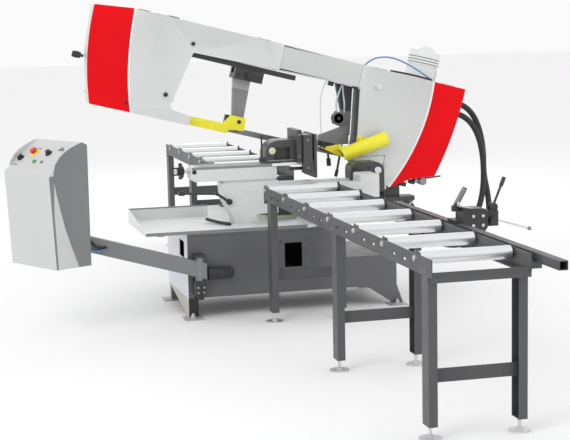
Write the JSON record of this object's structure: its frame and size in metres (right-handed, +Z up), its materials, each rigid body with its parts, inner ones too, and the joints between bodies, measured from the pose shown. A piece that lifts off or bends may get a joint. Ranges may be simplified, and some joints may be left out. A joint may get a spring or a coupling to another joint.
{
  "type": "horizontal band saw",
  "caption": "Horizontal band saw with a swivelling, lifting bow, screw vise, two roller tables with a length stop, and a console on a swinging arm.",
  "frame": {"origin": "centre of the four base anchor bolts, on the floor", "axes": "+X along the level blade towards the bow hinge, +Y towards the infeed table, +Z up"},
  "size_m": [3.2146, 6.06, 1.8659],
  "materials": {
    "dark_grey_paint": "satin",
    "light_grey_paint": "satin",
    "black_paint": "satin",
    "roller_steel": "brushed",
    "cast_iron": "machined",
    "guard_yellow": "gloss",
    "black_rubber": "matte",
    "black_plastic": "matte",
    "red_plastic": "gloss",
    "green_plastic": "gloss"
  },
  "bodies": {
    "frame": {"base_cabinet": "dark_grey_paint", "base_legs": "dark_grey_paint", "chip_tray": "light_grey_paint", "coolant_pump": "black_paint", "bed_column": "light_grey_paint", "bed_frame": "light_grey_paint", "vise_beam": "light_grey_paint", "fixed_jaw": "black_paint", "outfeed_rails": "dark_grey_paint", "infeed_rails": "dark_grey_paint", "table_leg_frames": "dark_grey_paint", "levelling_feet": "roller_steel", "roller_bolts": "roller_steel", "stop_rail": "dark_grey_paint", "swivel_ring": "roller_steel"},
    "outfeed_roller_1": {"outfeed_roller_1": "roller_steel"},
    "outfeed_roller_2": {"outfeed_roller_2": "roller_steel"},
    "outfeed_roller_3": {"outfeed_roller_3": "roller_steel"},
    "outfeed_roller_4": {"outfeed_roller_4": "roller_steel"},
    "outfeed_roller_5": {"outfeed_roller_5": "roller_steel"},
    "outfeed_roller_6": {"outfeed_roller_6": "roller_steel"},
    "outfeed_roller_7": {"outfeed_roller_7": "roller_steel"},
    "infeed_roller_1": {"infeed_roller_1": "roller_steel"},
    "infeed_roller_2": {"infeed_roller_2": "roller_steel"},
    "infeed_roller_3": {"infeed_roller_3": "roller_steel"},
    "infeed_roller_4": {"infeed_roller_4": "roller_steel"},
    "infeed_roller_5": {"infeed_roller_5": "roller_steel"},
    "stop_carriage": {"stop_carriage": "black_paint"},
    "stop_lever": {"stop_lever": "black_paint"},
    "stop_rod": {"stop_rod": "roller_steel"},
    "moving_jaw": {"moving_jaw": "black_paint"},
    "vise_screw": {"vise_screw": "roller_steel", "vise_handwheel": "black_plastic"},
    "swivel": {"swivel_carriage": "dark_grey_paint", "upper_hose": "black_rubber", "lower_hose": "black_rubber"},
    "mitre_lever": {"mitre_lever": "black_paint"},
    "feed_cylinder": {"feed_cylinder": "cast_iron"},
    "feed_rod": {"feed_rod": "roller_steel"},
    "bow": {"bow_frame": "light_grey_paint", "blade": "roller_steel", "gearbox": "cast_iron", "motor": "light_grey_paint", "right_guide": "dark_grey_paint"},
    "left_door": {"left_door": "light_grey_paint"},
    "right_door": {"right_door": "light_grey_paint", "right_blade_guard": "guard_yellow"},
    "tension_slide": {"tension_slide": "cast_iron"},
    "tension_handle": {"tension_handle": "black_plastic"},
    "idler_wheel": {"idler_wheel": "cast_iron"},
    "drive_wheel": {"drive_wheel": "cast_iron"},
    "guide_arm": {"guide_arm": "dark_grey_paint", "left_guide": "black_paint", "left_blade_guard": "guard_yellow"},
    "console_arm": {"console_arm": "dark_grey_paint"},
    "console_box": {"console_box": "light_grey_paint"},
    "emergency_stop": {"emergency_stop": "red_plastic"},
    "selector_switch": {"selector_switch": "black_plastic"},
    "speed_knob": {"speed_knob": "black_plastic"},
    "push_button": {"push_button": "green_plastic"}
  },
  "joints": [
    {"name": "outfeed_roller_1_spin", "type": "hinge", "parent": "frame", "child": "outfeed_roller_1", "pos_m": [0, -0.5, 0.765], "axis": [1, 0, 0], "continuous": true},
    {"name": "outfeed_roller_2_spin", "type": "hinge", "parent": "frame", "child": "outfeed_roller_2", "pos_m": [0, -0.928, 0.765], "axis": [1, 0, 0], "continuous": true},
    {"name": "outfeed_roller_3_spin", "type": "hinge", "parent": "frame", "child": "outfeed_roller_3", "pos_m": [0, -1.356, 0.765], "axis": [1, 0, 0], "continuous": true},
    {"name": "outfeed_roller_4_spin", "type": "hinge", "parent": "frame", "child": "outfeed_roller_4", "pos_m": [0, -1.784, 0.765], "axis": [1, 0, 0], "continuous": true},
    {"name": "outfeed_roller_5_spin", "type": "hinge", "parent": "frame", "child": "outfeed_roller_5", "pos_m": [0, -2.212, 0.765], "axis": [1, 0, 0], "continuous": true},
    {"name": "outfeed_roller_6_spin", "type": "hinge", "parent": "frame", "child": "outfeed_roller_6", "pos_m": [0, -2.64, 0.765], "axis": [1, 0, 0], "continuous": true},
    {"name": "outfeed_roller_7_spin", "type": "hinge", "parent": "frame", "child": "outfeed_roller_7", "pos_m": [0, -3.068, 0.765], "axis": [1, 0, 0], "continuous": true},
    {"name": "infeed_roller_1_spin", "type": "hinge", "parent": "frame", "child": "infeed_roller_1", "pos_m": [0, 0.95, 0.765], "axis": [1, 0, 0], "continuous": true},
    {"name": "infeed_roller_2_spin", "type": "hinge", "parent": "frame", "child": "infeed_roller_2", "pos_m": [0, 1.315, 0.765], "axis": [1, 0, 0], "continuous": true},
    {"name": "infeed_roller_3_spin", "type": "hinge", "parent": "frame", "child": "infeed_roller_3", "pos_m": [0, 1.68, 0.765], "axis": [1, 0, 0], "continuous": true},
    {"name": "infeed_roller_4_spin", "type": "hinge", "parent": "frame", "child": "infeed_roller_4", "pos_m": [0, 2.045, 0.765], "axis": [1, 0, 0], "continuous": true},
    {"name": "infeed_roller_5_spin", "type": "hinge", "parent": "frame", "child": "infeed_roller_5", "pos_m": [0, 2.41, 0.765], "axis": [1, 0, 0], "continuous": true},
    {"name": "stop_carriage_slide", "type": "slide", "parent": "frame", "child": "stop_carriage", "axis": [0, 1, 0], "range_m": [-1.14, 0.8]},
    {"name": "stop_lever_turn", "type": "hinge", "parent": "stop_carriage", "child": "stop_lever", "pos_m": [0.466, -2.26, 0.85], "axis": [0, 1, 0], "range_deg": [-30, 20]},
    {"name": "stop_rod_slide", "type": "slide", "parent": "stop_carriage", "child": "stop_rod", "axis": [0.9568, 0, -0.2907], "range_m": [-0.02, 0.05]},
    {"name": "moving_jaw_slide", "type": "slide", "parent": "frame", "child": "moving_jaw", "axis": [1, 0, 0], "range_m": [-0.19, 0.175]},
    {"name": "vise_screw_turn", "type": "hinge", "parent": "frame", "child": "vise_screw", "pos_m": [-0.65, -0.13, 0.862], "axis": [1, 0, 0], "range_deg": [-3420, 3150]},
    {"name": "mitre_swivel", "type": "hinge", "parent": "frame", "child": "swivel", "pos_m": [0, 0.09, 0.53], "axis": [0, 0, 1], "range_deg": [0, 45]},
    {"name": "mitre_lever_turn", "type": "hinge", "parent": "frame", "child": "mitre_lever", "pos_m": [-0.376, -0.214, 0.674], "axis": [0, 1, 0], "range_deg": [0, 30]},
    {"name": "bow_lift", "type": "hinge", "parent": "swivel", "child": "bow", "pos_m": [0.79, 0.25, 0.76], "axis": [0, 1, 0], "range_deg": [-14.4, 25], "deforming": ["upper_hose", "lower_hose"]},
    {"name": "feed_cylinder_tilt", "type": "hinge", "parent": "swivel", "child": "feed_cylinder", "pos_m": [0.56, 0.235, 0.65], "axis": [0, 1, 0], "range_deg": [-12, 18]},
    {"name": "feed_rod_slide", "type": "slide", "parent": "feed_cylinder", "child": "feed_rod", "axis": [0.1651, 0, 0.9863], "range_m": [-0.06, 0.095]},
    {"name": "left_door_hinge", "type": "hinge", "parent": "bow", "child": "left_door", "pos_m": [-0.52587, -0.009, 1.74705], "axis": [-0.9686, 0, 0.2487], "range_deg": [0, 100]},
    {"name": "right_door_hinge", "type": "hinge", "parent": "bow", "child": "right_door", "pos_m": [0.8857, -0.009, 1.37399], "axis": [-0.9686, 0, 0.2487], "range_deg": [0, 100]},
    {"name": "tension_slide_move", "type": "slide", "parent": "bow", "child": "tension_slide", "axis": [0.9686, 0, -0.2487], "range_m": [0, 0.006]},
    {"name": "tension_handle_turn", "type": "hinge", "parent": "bow", "child": "tension_handle", "pos_m": [-1.23611, 0.096, 1.57446], "axis": [0.9686, 0, -0.2487], "range_deg": [0, 720]},
    {"name": "drive_spin", "type": "hinge", "parent": "bow", "child": "drive_wheel", "pos_m": [0.8415, 0.09, 1.04102], "axis": [0, 1, 0], "continuous": true},
    {"name": "idler_spin", "type": "hinge", "parent": "tension_slide", "child": "idler_wheel", "pos_m": [-0.87289, 0.09, 1.4812], "axis": [0, 1, 0], "continuous": true},
    {"name": "guide_arm_slide", "type": "slide", "parent": "bow", "child": "guide_arm", "axis": [0.9686, 0, -0.2487], "range_m": [-0.01, 0.25]},
    {"name": "console_arm_swing", "type": "hinge", "parent": "frame", "child": "console_arm", "pos_m": [-0.6, -0.36, 0.3], "axis": [0, 0, 1], "range_deg": [-4, 55]},
    {"name": "console_turn", "type": "hinge", "parent": "console_arm", "child": "console_box", "pos_m": [-1.335, -0.36, 0.5], "axis": [0, 0, 1], "range_deg": [-40, 40]},
    {"name": "emergency_stop_press", "type": "slide", "parent": "console_box", "child": "emergency_stop", "axis": [0.5144, 0.2857, -0.8086], "range_m": [0, 0.004], "stiffness_N_per_m": 3000},
    {"name": "selector_turn", "type": "hinge", "parent": "console_box", "child": "selector_switch", "pos_m": [-1.60885, -0.29562, 1.00157], "axis": [-0.5144, -0.2857, 0.8086], "range_deg": [-45, 45]},
    {"name": "speed_knob_turn", "type": "hinge", "parent": "console_box", "child": "speed_knob", "pos_m": [-1.46715, -0.45599, 1.03505], "axis": [-0.5144, -0.2857, 0.8086], "range_deg": [-140, 140]},
    {"name": "push_button_press", "type": "slide", "parent": "console_box", "child": "push_button", "axis": [0.5144, 0.2857, -0.8086], "range_m": [0, 0.003], "stiffness_N_per_m": 1500}
  ],
  "couplings": [
    {"joint": "vise_screw_turn", "follows": "moving_jaw_slide", "rad_per_m": 314.16},
    {"joint": "feed_cylinder_tilt", "follows": "bow_lift", "ratio": 0.63},
    {"joint": "feed_rod_slide", "follows": "bow_lift", "m_per_rad": 0.2},
    {"joint": "tension_handle_turn", "follows": "tension_slide_move", "rad_per_m": 2094.4},
    {"joint": "idler_spin", "follows": "drive_spin", "ratio": 1}
  ]
}
